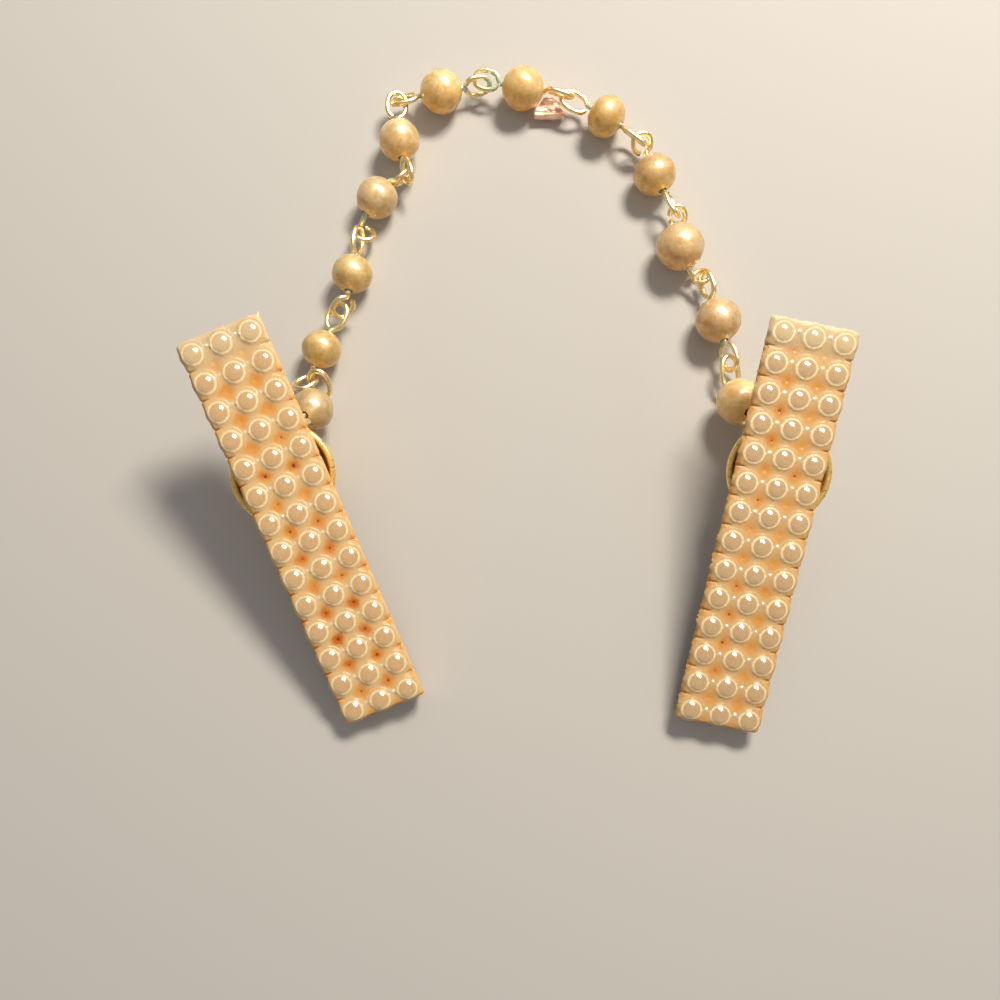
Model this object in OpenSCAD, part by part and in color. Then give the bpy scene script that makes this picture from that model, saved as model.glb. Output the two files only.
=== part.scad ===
// Sweater clip: two moulded half-pearl bars, each glued on a round spring clip,
// joined by a chain of imitation pearls on bent wire eyes. It lies on a table,
// each bar resting on its lower corners and on the lever of its clip.

/* [Half-pearl bars] */
// Spacing of the half pearls in both directions
bead_pitch = 3.5; // [3.4:0.05:3.6]
// Rows of half pearls along a bar
rows = 14; // [12:1:14]
// Columns of half pearls across a bar
columns = 3; // [2:1:4]
// Radius of a half pearl
dome_r = 1.66; // [1.5:0.02:1.72]
// Thickness of the plate under the half pearls
plate_t = 1.4; // [1:0.1:1.5]
// Slope of the bars, which lean on the clip under their upper ends
bar_tilt = 18; // [17:1:19]

/* [Spring clips] */
// Outer radius of the dish
dish_r = 6.25; // [6:0.05:6.4]
// Depth of the dish under the bar
dish_depth = 2.6; // [2.5:0.1:2.7]
// Thickness of the sheet metal of the jaw
sheet_t = 0.55; // [0.5:0.05:0.6]
// Width of the jaw over its cheeks
jaw_w = 4.9; // [4.7:0.1:4.9]
// Slope of the thumb lever, down from the plane of the dish
lever_slope = 45; // [42:1:48]
// Radius of the hinge pin
pin_r = 0.5; // [0.45:0.01:0.5]

/* [Chain] */
// Radius of the wire of the eyes
wire_r = 0.35; // [0.3:0.01:0.35]
// Radius of an eye, to the middle of its wire
eye_r = 1.4; // [1.35:0.05:1.4]
// Radius of the hole through a pearl
hole_r = 0.45; // [0.4:0.01:0.5]

/* [Hidden] */
$fn = 48;
LEFT = 0;
RIGHT = 1;

// Where each bar lies: x, y of the middle of its underside, heading, roll,
// then the middle of its dish across and along the bar
BAR_X = 0;
BAR_Y = 1;
BAR_HEADING = 2;
BAR_ROLL = 3;
DISH_ACROSS = 4;
DISH_ALONG = 5;
BARS = [
    [-25.0, -19.5, 113, 4, -0.4, 6.4],
    [29.0, -20.1, 78, -2, 0.8, 7.0]
];
// How far each clip is turned on its bar, so that its lever clears the chain
CLIP_TURN = [12, -12];
// Where round its dish each clip has the soldered eye for the chain
LUG_AT = [56, 122];

// Pearls from the left clip to the right: x, y, z of the middle, diameter
PEARLS = [
    [-25.8, -4.4, 3.7, 5.4],
    [-25.1, 4.0, 2.6, 5.2],
    [-21.4, 14.3, 2.7, 5.4],
    [-18.4, 25.0, 2.8, 5.5],
    [-15.6, 33.4, 2.8, 5.6],
    [-10.0, 40.5, 2.9, 5.8],
    [1.1, 41.0, 2.9, 5.8],
    [12.4, 36.8, 2.9, 5.7],
    [18.7, 28.3, 2.9, 5.7],
    [21.7, 17.9, 3.2, 6.3],
    [26.3, 7.8, 3.0, 5.9],
    [28.4, -3.5, 4.0, 6.0]
];
// Eyes of each pearl's wire, on the side of the left clip and of the right one:
// x, y, z of the middle, then roll about the wire and lean of the far side.
// The first and the last eye hang in the eyes of the clips.
ROLL = 3;
LEAN = 4;
EYES = [
    [[], [-25.4, -0.1, 2.4, -5, -50]],
    [[-27.2, -0.4, 2.2, 25, -35], [-23.1, 8.8, 2.8, -10, -5]],
    [[-22.4, 9.5, 3.2, -30, 45], [-20.8, 19.5, 2.3, 70, 0]],
    [[-20.1, 20.4, 1.9, 0, -30], [-14.6, 28.7, 2.2, -80, 5]],
    [[-14.3, 28.3, 3.4, 65, 0], [-16.0, 38.8, 3.0, 10, -5]],
    [[-15.3, 39.3, 2.8, 40, 5], [-4.8, 41.6, 2.6, 65, 10]],
    [[-4.1, 42.2, 3.1, -15, 5], [6.5, 40.1, 3.0, -65, 20]],
    [[7.7, 39.3, 2.8, 0, -15], [16.6, 33.4, 3.0, -65, 0]],
    [[17.2, 33.0, 2.5, 0, -40], [20.9, 23.4, 3.4, -60, 0]],
    [[21.2, 22.4, 2.7, -5, -45], [24.3, 14.2, 1.8, 0, -35]],
    [[25.1, 13.2, 2.6, -70, 0], [27.6, 2.5, 3.0, 60, 0]],
    [[27.7, 1.7, 2.4, 20, -15], []]
];

// Turning of points, in the order that rotate() uses
function turn_x(p, a) = [p.x, p.y * cos(a) - p.z * sin(a), p.y * sin(a) + p.z * cos(a)];
function turn_y(p, a) = [p.x * cos(a) + p.z * sin(a), p.y, p.z * cos(a) - p.x * sin(a)];
function turn_z(p, a) = [p.x * cos(a) - p.y * sin(a), p.x * sin(a) + p.y * cos(a), p.z];
function unit(v) = v / norm(v);

// Bars
half_l = (rows - 1) / 2 * bead_pitch;
half_w = (columns - 1) / 2 * bead_pitch;
plate_margin = 1.5;
scallop_r = plate_margin + 0.2;
dome_z = plate_t + 0.2;
dome_foot = plate_t - 0.4;
table_gap = 0.02;
function bar_lift(side) = table_gap + (half_l + plate_margin) * sin(bar_tilt)
    + (half_w + plate_margin) * cos(bar_tilt) * sin(abs(BARS[side][BAR_ROLL]));
function bar_turned(side, p) = turn_z(
    turn_x(turn_y(p, -BARS[side][BAR_ROLL]), bar_tilt), BARS[side][BAR_HEADING] - 90);
function dish_place(side) = [BARS[side][BAR_X], BARS[side][BAR_Y], bar_lift(side)]
    + bar_turned(side, [BARS[side][DISH_ACROSS], BARS[side][DISH_ALONG], 0]);
function clip_point(side, p) = dish_place(side) + bar_turned(side, p);

// Hinge of the clip, in the frame of its dish: x across, y to the lever, z up
pin_y = 3.4;
pin_z = -5.0;
ear_x = 2.6;
ear_t = 0.6;
ear_tip_r = 1.2;
pin_head_r = 0.8;
pin_head_t = 0.3;
run_gap = 0.05;
ear_hole_r = pin_r + 0.03;
jaw_hole_r = pin_r + 0.06;

// Sheet of the jaw: distance of its middle from the pin, then its three corners
jaw_offset = 1.9;
lip_top = [-5.6, -2.0];
lip_foot = [-5.45, -3.2];
jaw_slope = 23.6;
heel = [pin_y, pin_z] + jaw_offset / cos((lever_slope - jaw_slope) / 2)
    * [-sin((lever_slope + jaw_slope) / 2), -cos((lever_slope + jaw_slope) / 2)];
lever_way = [0, cos(lever_slope), -sin(lever_slope)];
lever_tip_r = 1.6;
// The lever is as long as it takes to reach the table
sole = [0, heel.x, heel.y] + sheet_t / 2 * [0, -sin(lever_slope), -cos(lever_slope)];
function lever_l(side) = let (
        foot = clip_point(side, turn_z(sole, CLIP_TURN[side])),
        way = bar_turned(side, turn_z(lever_way, CLIP_TURN[side]))
    ) (2 * table_gap - foot.z) / way.z;
tooth_count = 5;
tooth_depth = 0.55;

// Spring on the pin
coil_r = 0.95;
coil_wire_r = 0.26;
coil_half = 1.61;
coil_pitch = 0.46;
coil_grooves = 4;
leg_r = 0.22;
leg_l = 5.5;
leg_in = leg_r + 0.01;

// Eye soldered on the wall of the dish, upright and in line with its middle
lug_r = 1.1;
lug_out = 6.4;
lug_z = -2.7;
shank_r = 0.45;
shank_z = lug_z + 0.95;

// Wire of a pearl: it leaves the hole, bends, and runs into its eye
neck_r = wire_r - 0.05;
elbow_r = wire_r - 0.02;
mouth_out = 0.3;
hang = lug_r + eye_r - 2 * wire_r - 0.2;
function lug_way(side) = [cos(LUG_AT[side]), sin(LUG_AT[side]), 0];
function hung_eye(side) = lug_out * lug_way(side) + [0, 0, lug_z - hang];
function pearl_at(i) = [PEARLS[i][0], PEARLS[i][1], PEARLS[i][2]];
function pearl_r(i) = PEARLS[i][3] / 2;
function is_hung(i, end) = len(EYES[i][end]) == 0;
function eye_at(i, end) = is_hung(i, end)
    ? clip_point(end, hung_eye(end))
    : [EYES[i][end][0], EYES[i][end][1], EYES[i][end][2]];
function eye_heading(i, end) = let (way = eye_at(i, end) - pearl_at(i)) atan2(way.y, way.x);
function eye_turned(i, end, p) = is_hung(i, end)
    ? bar_turned(end, turn_z(turn_y(p, 90), LUG_AT[end]))
    : turn_z(turn_y(turn_x(p, EYES[i][end][ROLL]), EYES[i][end][LEAN]), eye_heading(i, end));
// The hole runs straight, from eye to eye, or in line with an eye that hangs
function hole_way(i) = unit(
    is_hung(i, LEFT) ? pearl_at(i) - eye_at(i, LEFT)
    : is_hung(i, RIGHT) ? eye_at(i, RIGHT) - pearl_at(i)
    : eye_at(i, RIGHT) - eye_at(i, LEFT));
function mouth(i, end) = pearl_at(i)
    + (end == LEFT ? -1 : 1) * (pearl_r(i) + mouth_out) * hole_way(i);
// Point of an eye's wire that lies nearest to the mouth of the hole
function eye_joint(i, end) = let (
        n = eye_turned(i, end, [0, 0, 1]),
        v = mouth(i, end) - eye_at(i, end)
    ) eye_at(i, end) + eye_r * unit(v - (v * n) * n);
// The wire of an eye starts at that point and ends a little short of it
eye_start = -14;
eye_open = 26;
function eye_from(i, end) = let (v = eye_joint(i, end) - eye_at(i, end)) eye_start
    + atan2(v * eye_turned(i, end, [0, 1, 0]), v * eye_turned(i, end, [1, 0, 0]));

// Folded scrap of copper under the seventh pearl: y and z of each fold along the
// strip, then which way its outer face lies from there
SCRAP_FOLDS = [
    [39.75, 1.75, 0, 1],
    [39.1, 1.25, 0, 1],
    [38.5, 1.75, 0, 1],
    [38.0, 1.45, 0, 1],
    [37.5, 1.65, -0.3, 1],
    [37.3, 1.1, -1, 0],
    [38.3, 0.5, 0, -1],
    [39.3, 0.25, 0, -1]
];
scrap_t = 0.24;
scrap_tongue = [3.9, 4.8];

// Puts a shape drawn on the underside of a bar where that bar lies
module on_bar(side) {
    translate([BARS[side][BAR_X], BARS[side][BAR_Y], bar_lift(side)])
        rotate([bar_tilt, 0, BARS[side][BAR_HEADING] - 90])
            rotate([0, -BARS[side][BAR_ROLL], 0])
                children();
}

// Puts a shape drawn about the middle of a dish under its bar
module on_dish(side) {
    on_bar(side)
        translate([BARS[side][DISH_ACROSS], BARS[side][DISH_ALONG], 0])
            children();
}

// Puts a shape of the hinge where the clip is turned to
module on_clip(side) {
    on_dish(side)
        rotate([0, 0, CLIP_TURN[side]])
            children();
}

// Turns an outline drawn in y and z into a slab across the clip
module across(x_from, x_to) {
    translate([x_from, 0, 0])
        rotate([90, 0, 90])
            linear_extrude(x_to - x_from)
                children();
}

// Round bar between two points
module rod(p, q, r) {
    way = q - p;
    translate(p)
        rotate([0, acos(way.z / norm(way)), atan2(way.y, way.x)])
            cylinder(h = norm(way), r = r);
}

module ring(r, wire, from = 0, sweep = 360) {
    rotate([0, 0, from])
        rotate_extrude(angle = sweep)
            translate([r, 0])
                circle(wire, $fn = 24);
}

module half_pearl() {
    rotate_extrude()
        intersection() {
            translate([0, dome_z]) circle(dome_r);
            translate([0, dome_foot]) square([dome_r, dome_z + dome_r - dome_foot]);
        }
}

// One ivory moulding: plate with a scalloped edge, and its half pearls
module bar(side) {
    color("ivory")
        on_bar(side) {
            linear_extrude(plate_t)
                union() {
                    square([2 * (half_w + plate_margin), 2 * (half_l + plate_margin)], center = true);
                    for (x = [-half_w, half_w], row = [0 : rows - 1])
                        translate([x, row * bead_pitch - half_l]) circle(scallop_r);
                    for (y = [-half_l, half_l])
                        translate([0, y]) circle(scallop_r);
                }
            for (column = [0 : columns - 1], row = [0 : rows - 1])
                translate([column * bead_pitch - half_w, row * bead_pitch - half_l, 0])
                    half_pearl();
        }
}

// Cement that fills the dish up to the bar
module cement(side) {
    floor_z = 0.5 - dish_depth;
    color("peru")
        on_dish(side)
            rotate_extrude()
                polygon([
                    [0, floor_z], [3.4, floor_z], [4.5, floor_z + 0.3],
                    [4.9, -0.8], [4.7, -0.05], [0, -0.05]
                ]);
}

module ear_outline() {
    difference() {
        union() {
            translate([pin_y, pin_z]) circle(ear_tip_r);
            polygon([[1.9, -dish_depth + 0.35], [4.9, -dish_depth + 0.35],
                [pin_y + 1.15, pin_z], [pin_y - 1.15, pin_z]]);
        }
        translate([pin_y, pin_z]) circle(ear_hole_r);
    }
}

// Stamped dish with a rolled rim, its two ears, and the eye soldered to its wall
module dish(side) {
    rim_r = 0.4;
    color("goldenrod") {
        on_dish(side) {
            rotate_extrude() {
                polygon([
                    [0, -dish_depth], [3.6, -dish_depth], [5.0, 0.4 - dish_depth],
                    [5.75, 1.2 - dish_depth], [dish_r - 0.2, 2.0 - dish_depth],
                    [dish_r - 0.65, 2.0 - dish_depth], [5.3, 1.3 - dish_depth],
                    [4.7, 0.8 - dish_depth], [3.5, 0.45 - dish_depth], [0, 0.45 - dish_depth]
                ]);
                translate([dish_r - rim_r, -0.1 - rim_r]) circle(rim_r);
            }
            rotate([0, 0, LUG_AT[side]]) {
                translate([lug_out, 0, lug_z]) rotate([90, 0, 0]) ring(lug_r, wire_r);
                translate([4.9, 0, shank_z]) rotate([0, 90, 0]) cylinder(h = 0.85, r = shank_r);
            }
        }
        on_clip(side) {
            across(ear_x, ear_x + ear_t) ear_outline();
            across(-ear_x - ear_t, -ear_x) ear_outline();
        }
    }
}

// Front of the jaw: sheet from the heel to the toothed lip
module jaw_sheet() {
    front = [lip_foot.x - sheet_t / 2, lip_foot.y];
    under = sheet_t / 2 * [-sin(jaw_slope), -cos(jaw_slope)];
    difference() {
        across(-jaw_w / 2, jaw_w / 2)
            polygon([
                lip_top + [-sheet_t / 2, 0], front + [0, -0.3], lip_foot + under * 1.3,
                heel + under, heel - under, lip_foot + [sheet_t / 2, 0.15], lip_top + [sheet_t / 2, 0]
            ]);
        for (tooth = [0 : tooth_count - 1])
            translate([(tooth - (tooth_count - 1) / 2) * jaw_w / tooth_count, lip_top.x, lip_top.y])
                rotate([0, 45, 0])
                    cube([tooth_depth, 2 * sheet_t, tooth_depth], center = true);
    }
}

// Thumb lever: a tongue with a round end, in the plane of its own sheet
module lever(side) {
    l = lever_l(side);
    translate([0, heel.x, heel.y])
        rotate([-lever_slope, 0, 0])
            translate([0, 0, -sheet_t / 2])
                linear_extrude(sheet_t)
                    union() {
                        polygon([
                            [-jaw_w / 2 + 0.4, -0.1], [jaw_w / 2 - 0.4, -0.1],
                            [lever_tip_r - 0.03, l - lever_tip_r], [0.03 - lever_tip_r, l - lever_tip_r]
                        ]);
                        translate([0, l - lever_tip_r]) circle(lever_tip_r);
                    }
}

module cheek_outline() {
    difference() {
        union() {
            translate([pin_y, pin_z]) circle(ear_tip_r);
            polygon([[pin_y - 0.8, pin_z + 0.8], [-1.0, -4.95], heel + [-0.1, -0.2],
                [pin_y + 0.2, -7.9], [pin_y + 0.95, pin_z - 0.5]]);
        }
        translate([pin_y, pin_z]) circle(jaw_hole_r);
    }
}

// Sprung jaw: toothed sheet, two cheeks on the pin, and the thumb lever
module jaw(side) {
    cheek_t = 0.5;
    color("darkgoldenrod")
        on_clip(side) {
            jaw_sheet();
            lever(side);
            across(jaw_w / 2 - cheek_t, jaw_w / 2) cheek_outline();
            across(-jaw_w / 2, cheek_t - jaw_w / 2) cheek_outline();
        }
}

// Hinge pin, headed at both ends
module pin(side) {
    head_x = ear_x + ear_t + run_gap;
    color("gold")
        on_clip(side)
            translate([0, pin_y, pin_z])
                rotate([0, 90, 0]) {
                    translate([0, 0, -head_x - pin_head_t / 2])
                        cylinder(h = 2 * head_x + pin_head_t, r = pin_r);
                    translate([0, 0, head_x]) cylinder(h = pin_head_t, r = pin_head_r);
                    translate([0, 0, -head_x - pin_head_t]) cylinder(h = pin_head_t, r = pin_head_r);
                }
}

// Wound spring round the pin, with a leg to the dish and a leg along the lever
module spring(side) {
    foot = coil_r * [0, -sin(lever_slope), -cos(lever_slope)];
    color("silver")
        on_clip(side)
            translate([0, pin_y, pin_z]) {
                rotate([0, 90, 0])
                    rotate_extrude()
                        difference() {
                            translate([coil_r - coil_wire_r, -coil_half])
                                square([2 * coil_wire_r, 2 * coil_half]);
                            for (groove = [0.5 - coil_grooves / 2 : coil_grooves / 2])
                                translate([coil_r + coil_wire_r, groove * coil_pitch])
                                    square([0.2, 0.1], center = true);
                        }
                translate([coil_half - leg_in, 0, 0])
                    rod(coil_r * [0, -cos(30), sin(30)], [0, 0.05, 1.95], leg_r);
                translate([leg_in - coil_half, 0, 0])
                    rod(foot, foot + leg_l * lever_way, leg_r);
            }
}

// Imitation pearl with a straight hole
module pearl(i) {
    way = hole_way(i);
    color("wheat")
        difference() {
            translate(pearl_at(i)) sphere(pearl_r(i));
            rod(pearl_at(i) - 2 * pearl_r(i) * way, pearl_at(i) + 2 * pearl_r(i) * way, hole_r);
        }
}

// One eye: a ring of wire and the neck that joins it to the mouth of the hole
module eye(i, end) {
    if (is_hung(i, end)) {
        on_dish(end)
            translate(hung_eye(end))
                rotate([0, 90, LUG_AT[end]])
                    ring(eye_r, wire_r, eye_from(i, end), 360 - eye_open);
    } else {
        translate(eye_at(i, end))
            rotate([EYES[i][end][ROLL], EYES[i][end][LEAN], eye_heading(i, end)])
                ring(eye_r, wire_r, eye_from(i, end), 360 - eye_open);
    }
    rod(mouth(i, end), eye_joint(i, end), neck_r);
    translate(mouth(i, end))
        rotate([0, 0, eye_heading(i, end) + 90])
            sphere(elbow_r);
}

// Wire through a pearl, with an eye turned at each end
module link(i) {
    color("gold") {
        rod(mouth(i, LEFT), mouth(i, RIGHT), neck_r - 0.01);
        eye(i, LEFT);
        eye(i, RIGHT);
    }
}

// Scrap of copper sheet, folded in waves, with a tongue up to the wire above it
module copper_scrap() {
    outer = [for (f = SCRAP_FOLDS) [f[0], f[1]] + scrap_t / 2 * [f[2], f[3]]];
    inner = [for (f = SCRAP_FOLDS) [f[0], f[1]] - scrap_t / 2 * [f[2], f[3]]];
    last = len(SCRAP_FOLDS) - 1;
    color("lightsalmon") {
        intersection() {
            across(2, 8)
                polygon([for (p = outer) p, for (i = [last : -1 : 0]) inner[i]]);
            linear_extrude(4)
                polygon([[3.8, 40], [2.7, 37.6], [3.0, 37], [6.9, 37], [6.5, 38.6], [6.7, 40]]);
        }
        across(scrap_tongue[0], scrap_tongue[1])
            polygon([[39.6, 1.55], [39.6, 1.75], [40.1, 2.35], [40.25, 2.25]]);
    }
}

bar(LEFT);  // bar_left
bar(RIGHT);  // bar_right
cement(LEFT);  // cement_left
cement(RIGHT);  // cement_right
dish(LEFT);  // dish_left
dish(RIGHT);  // dish_right
jaw(LEFT);  // jaw_left
jaw(RIGHT);  // jaw_right
pin(LEFT);  // pin_left
pin(RIGHT);  // pin_right
spring(LEFT);  // spring_left
spring(RIGHT);  // spring_right
pearl(0);  // pearl_01
pearl(1);  // pearl_02
pearl(2);  // pearl_03
pearl(3);  // pearl_04
pearl(4);  // pearl_05
pearl(5);  // pearl_06
pearl(6);  // pearl_07
pearl(7);  // pearl_08
pearl(8);  // pearl_09
pearl(9);  // pearl_10
pearl(10);  // pearl_11
pearl(11);  // pearl_12
link(0);  // link_01
link(1);  // link_02
link(2);  // link_03
link(3);  // link_04
link(4);  // link_05
link(5);  // link_06
link(6);  // link_07
link(7);  // link_08
link(8);  // link_09
link(9);  // link_10
link(10);  // link_11
link(11);  // link_12
copper_scrap();
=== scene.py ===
from math import asin, atan2, cos, degrees, exp, hypot, pi, radians, sin, sqrt

import bmesh
import bpy
from mathutils import Matrix, Vector, noise


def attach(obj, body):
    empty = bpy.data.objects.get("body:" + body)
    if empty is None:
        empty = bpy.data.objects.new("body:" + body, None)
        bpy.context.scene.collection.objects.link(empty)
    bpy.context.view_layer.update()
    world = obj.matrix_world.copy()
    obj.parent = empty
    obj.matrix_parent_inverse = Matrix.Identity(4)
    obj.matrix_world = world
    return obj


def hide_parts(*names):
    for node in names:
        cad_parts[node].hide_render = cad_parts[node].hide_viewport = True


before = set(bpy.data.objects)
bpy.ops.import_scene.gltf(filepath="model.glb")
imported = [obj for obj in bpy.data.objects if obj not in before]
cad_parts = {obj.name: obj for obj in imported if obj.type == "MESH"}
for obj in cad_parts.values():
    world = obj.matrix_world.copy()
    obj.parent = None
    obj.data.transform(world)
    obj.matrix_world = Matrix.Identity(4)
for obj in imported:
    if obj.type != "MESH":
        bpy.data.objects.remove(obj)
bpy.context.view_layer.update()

# Camera above the near half of the table, looking down and a little forward. Sizes
# in this script are millimetres on the object, and become metres as pieces are made.
MM = 0.001
CAMERA_AT = (-2.0, -35.0, 114.2)
CAMERA_LEAN = 9.75
camera_data = bpy.data.cameras.new("camera")
camera_data.lens = 32.4
camera_data.sensor_width = 36.0
camera_data.clip_start = 0.01
camera = bpy.data.objects.new("camera", camera_data)
camera.location = [MM * c for c in CAMERA_AT]
camera.rotation_euler = (radians(CAMERA_LEAN), 0, 0)
bpy.context.scene.collection.objects.link(camera)
bpy.context.scene.camera = camera


# Lights of a small studio: a softbox beyond the chain, to the right, throws the
# shadows towards the near edge, and a wide card beside it shows in the gloss only.
# The world round them is dim and even.
def softbox(name, place, wide, deep, watts, colour):
    """A light panel at place, in millimetres, that shines at the middle of the table."""
    data = bpy.data.lights.new(name, "AREA")
    data.shape = "RECTANGLE"
    data.size = MM * wide
    data.size_y = MM * deep
    data.energy = watts
    data.color = colour
    lamp = bpy.data.objects.new(name, data)
    lamp.location = MM * Vector(place)
    lamp.rotation_euler = (-Vector(place)).to_track_quat("-Z", "Y").to_euler()
    bpy.context.scene.collection.objects.link(lamp)
    return lamp


KEY_AT = (125, 225, 300)
SHEEN_AT = (108, 190, 325)
softbox("key_softbox", KEY_AT, 130, 70, 1.8, (1.0, 0.9, 0.75))
sheen = softbox("sheen_card", SHEEN_AT, 290, 140, 5.0, (1.0, 0.97, 0.9))
sheen.visible_diffuse = False
world = bpy.data.worlds.new("studio")
world.use_nodes = True
world.node_tree.nodes["Background"].inputs["Color"].default_value = (1.0, 0.97, 0.93, 1)
world.node_tree.nodes["Background"].inputs["Strength"].default_value = 0.3
bpy.context.scene.world = world
bpy.context.scene.view_settings.view_transform = "Standard"


# The table: one flat, pale sheet without gloss. It only carries the object and its
# shadows, and is no part of it.
def new_material(name):
    """A material, its node tree and its Principled shader."""
    material = bpy.data.materials.new(name)
    material.use_nodes = True
    return material, material.node_tree, material.node_tree.nodes["Principled BSDF"]


def feed(tree, socket, value):
    """Links a socket to another node's output, or sets its number or colour."""
    if isinstance(value, bpy.types.NodeSocket):
        tree.links.new(value, socket)
    else:
        socket.default_value = value


def put(tree, kind, settings=None, **inputs):
    """Adds a node. An input goes by its name, or by its number after a low dash."""
    node = tree.nodes.new("ShaderNode" + kind)
    for key, value in (settings or {}).items():
        setattr(node, key, value)
    for key, value in inputs.items():
        socket = int(key[1:]) if key[1:].isdigit() else key.replace("_", " ")
        feed(tree, node.inputs[socket], value)
    return node


def set_shader(tree, shader, **inputs):
    """Sets or links sockets of the Principled shader."""
    for key, value in inputs.items():
        feed(tree, shader.inputs[key.replace("_", " ")], value)


TABLE_SIZE = 3.0
bm = bmesh.new()
bmesh.ops.create_grid(bm, x_segments=1, y_segments=1, size=TABLE_SIZE / 2)
table_mesh = bpy.data.meshes.new("table")
bm.to_mesh(table_mesh)
bm.free()
table = bpy.data.objects.new("table", table_mesh)
bpy.context.scene.collection.objects.link(table)
material, tree, shader = new_material("pale_table")
set_shader(tree, shader, Base_Color=(0.6, 0.59, 0.58, 1), Roughness=0.75, Specular_IOR_Level=0.0)
table_mesh.materials.append(material)


# The two bars: each is one moulding of ivory plastic, fourteen rows of three half
# pearls on a thin plate. It has a translucent skin, and old glue has stained the
# hollows between the half pearls orange. It leans on the clip glued under it.
LEFT = 0
RIGHT = 1
SIDES = ["left", "right"]
BAR_TILT = 18.0
# Middle of the underside x, y, then heading and roll in degrees, and the middle of
# its dish across and along
BARS = [
    (-25.0, -19.5, 113, 4, -0.4, 6.4),
    (29.0, -20.1, 78, -2, 0.8, 7.0),
]
# Spacing of the half pearls, thickness of the plate and its margin past the middles
# of the outer ones, and the ball that each is part of: radius and middle's height
PITCH = 3.5
ROWS = 14
COLUMNS = 3
PLATE = 1.4
MARGIN = 1.5
DOME = 1.66
DOME_Z = PLATE + 0.2
HALF_LENGTH = (ROWS - 1) / 2 * PITCH
HALF_WIDTH = (COLUMNS - 1) / 2 * PITCH
# What stays clear of the table under the lowest corner
TABLE_GAP = 0.02
# The bead that shows above the skin has the same top and is flatter: its ball's
# radius, how far out it meets the skin, and its share of a cell's steps outwards
BEAD = 2.0
BEAD_FOOT = 1.08
BEAD_Z = DOME_Z + DOME - BEAD
STEPS = 16
BEAD_STEPS = 9
# Steps over the skin grow by this power, and places this near to each other are one
STEP_GROWTH = 1.5
TINY = 1e-6


def turned(angle, axis):
    """A turn by degrees about an axis, as a matrix."""
    return Matrix.Rotation(radians(angle), 4, axis)


def bar_place(side):
    """Where the middle of a bar's underside lies, as a matrix in millimetres."""
    x, y, heading, roll = BARS[side][:4]
    lift = TABLE_GAP + (HALF_LENGTH + MARGIN) * sin(radians(BAR_TILT))
    lift += (HALF_WIDTH + MARGIN) * cos(radians(BAR_TILT)) * sin(radians(abs(roll)))
    lie = turned(heading - 90, "Z") @ turned(BAR_TILT, "X") @ turned(-roll, "Y")
    return Matrix.Translation((x, y, lift)) @ lie


def finish_piece(bm, name, material, node, body, place=None, smooth=40.0):
    """Makes the mesh an object in metres that stands for a node of the frame.

    Edges that turn by more than smooth, in degrees, stay sharp.
    """
    bm.transform(Matrix.Scale(MM, 4) @ (place or Matrix.Identity(4)))
    mesh = bpy.data.meshes.new(name)
    bm.to_mesh(mesh)
    bm.free()
    mesh.materials.append(material)
    mesh.shade_smooth()
    mesh.set_sharp_from_angle(angle=radians(smooth))
    piece = bpy.data.objects.new(name, mesh)
    bpy.context.scene.collection.objects.link(piece)
    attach(piece, body)
    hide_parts(node)


# The plate's edge is scalloped round the outer half pearls, to this radius and depth,
# and closer along the left bar's inner edge
SCALLOP = 1.7
SCALLOP_DEPTH = 0.2
TRIMMED = 1.58
# Film that the mould left between the scallops: how far it reaches, how rough it is,
# and the first row that it fills, along the two sides and the two ends
FILM = [
    {"-x": (1.6, 0.05, 7), "+x": (1.5, 0.03, 0), "-y": (1.62, 0.06, 0), "+y": (1.7, 0.3, 0)},
    {"-x": (1.62, 0.22, 0), "+x": (1.66, 0.03, 0), "-y": (1.5, 0.1, 0), "+y": (1.66, 0.26, 0)},
]
# Notches in it between two rows
NOTCH_DEPTH = 0.22
NOTCH_WIDTH = 0.16


def edge_reach(side, edge, along, row):
    """How far the plate reaches past the outer half pearls' middles."""
    scallop = TRIMMED if (side, edge) == (LEFT, "+x") else SCALLOP
    reach = max(scallop - SCALLOP_DEPTH, sqrt(max(0.0, scallop ** 2 - along ** 2)))
    film, rough, first = FILM[side][edge]
    if row >= first:
        reach = max(reach, film)
    place = Vector((2.3 * along, 9.1 * row, 8.0 + 3.0 * side))
    reach += rough * noise.noise(place) + 0.6 * rough * noise.noise(place * 3.1)
    if edge[1] == "x":
        reach -= NOTCH_DEPTH * exp(-((PITCH / 2 - abs(along)) / NOTCH_WIDTH) ** 2)
    return reach


def outward(offset, index, count):
    """Whether an offset from a cell's middle points out of a row of so many cells."""
    return (offset < 0 and index == 0) or (offset > 0 and index == count - 1)


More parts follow.
